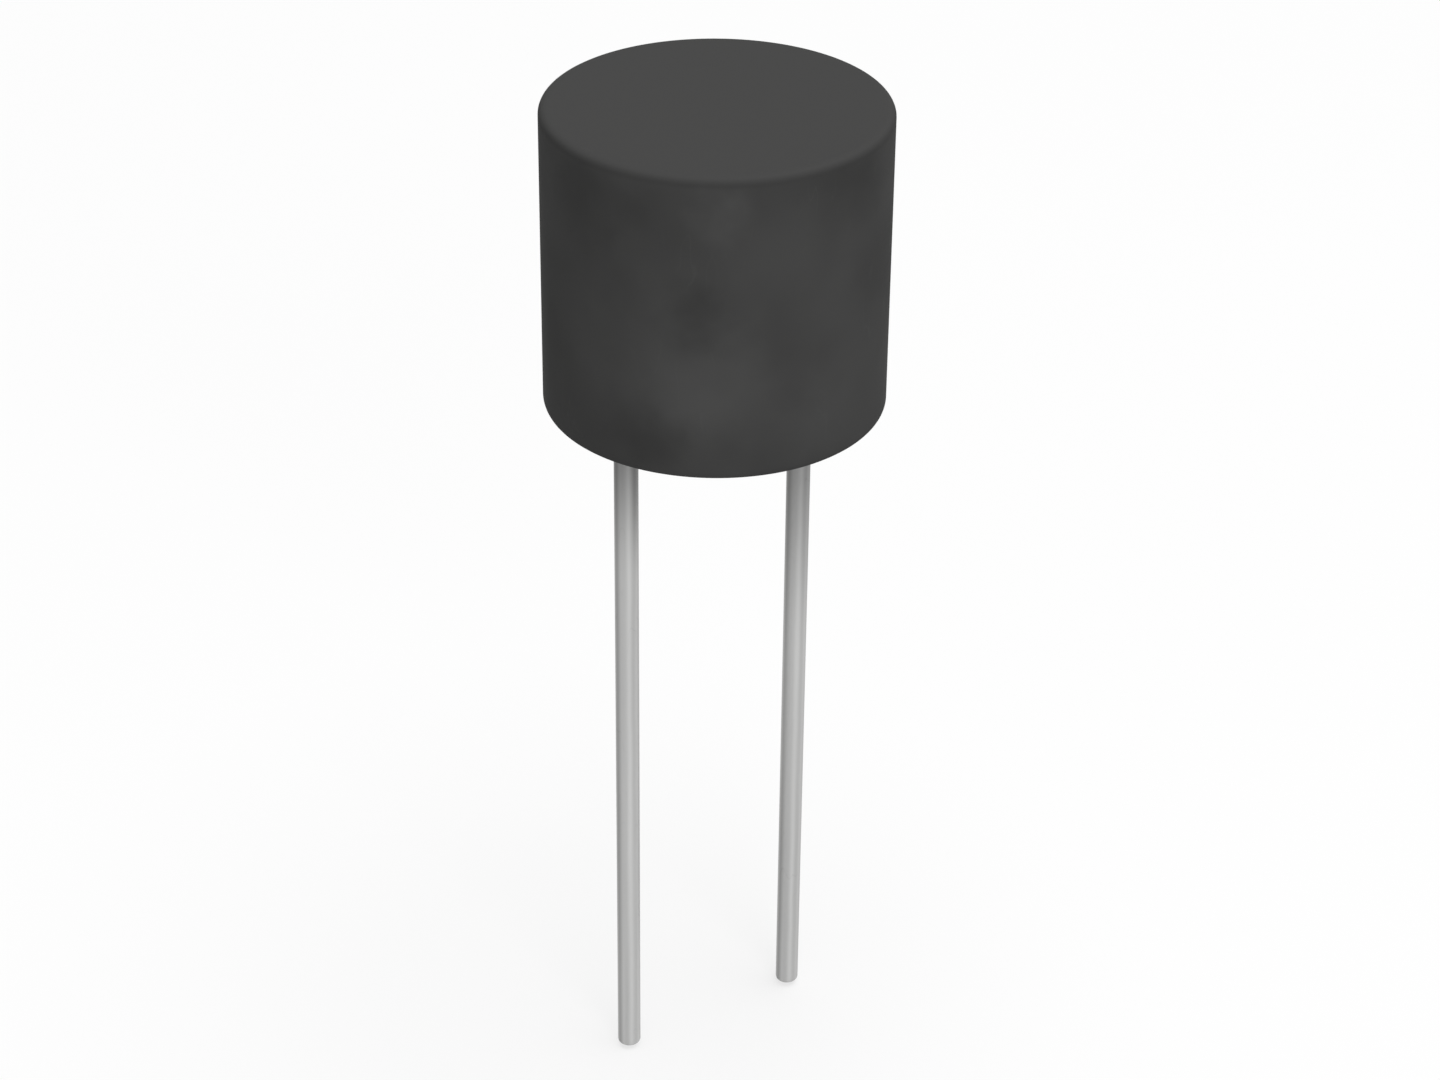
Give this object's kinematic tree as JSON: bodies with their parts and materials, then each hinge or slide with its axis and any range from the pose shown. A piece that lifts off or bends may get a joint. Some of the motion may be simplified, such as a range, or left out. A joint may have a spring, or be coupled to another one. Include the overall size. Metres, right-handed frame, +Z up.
{
  "type": "miniature fuse",
  "caption": "Round radial-lead miniature fuse: dark moulded can closed by a snap-in base, long straight round leads and, inside, a wound element soldered between them.",
  "frame": {"origin": "centre of the can's rim, in the seating plane and midway between the leads", "axes": "+Z up through the can, away from the board; +X from the left lead to the right lead; the leads point along -Z"},
  "size_m": [0.0084, 0.0084, 0.0265],
  "materials": {
    "can_plastic": "matte",
    "base_plastic": "matte",
    "tinned_copper": "satin",
    "glass_fibre": "matte",
    "element_wire": "satin",
    "solder": "satin"
  },
  "bodies": {
    "root": {"cap": "can_plastic", "base": "base_plastic", "lead_left": "tinned_copper", "lead_right": "tinned_copper", "wire_core": "glass_fibre", "fuse_wire": "element_wire", "solder_left": "solder", "solder_right": "solder"}
  },
  "joints": []
}
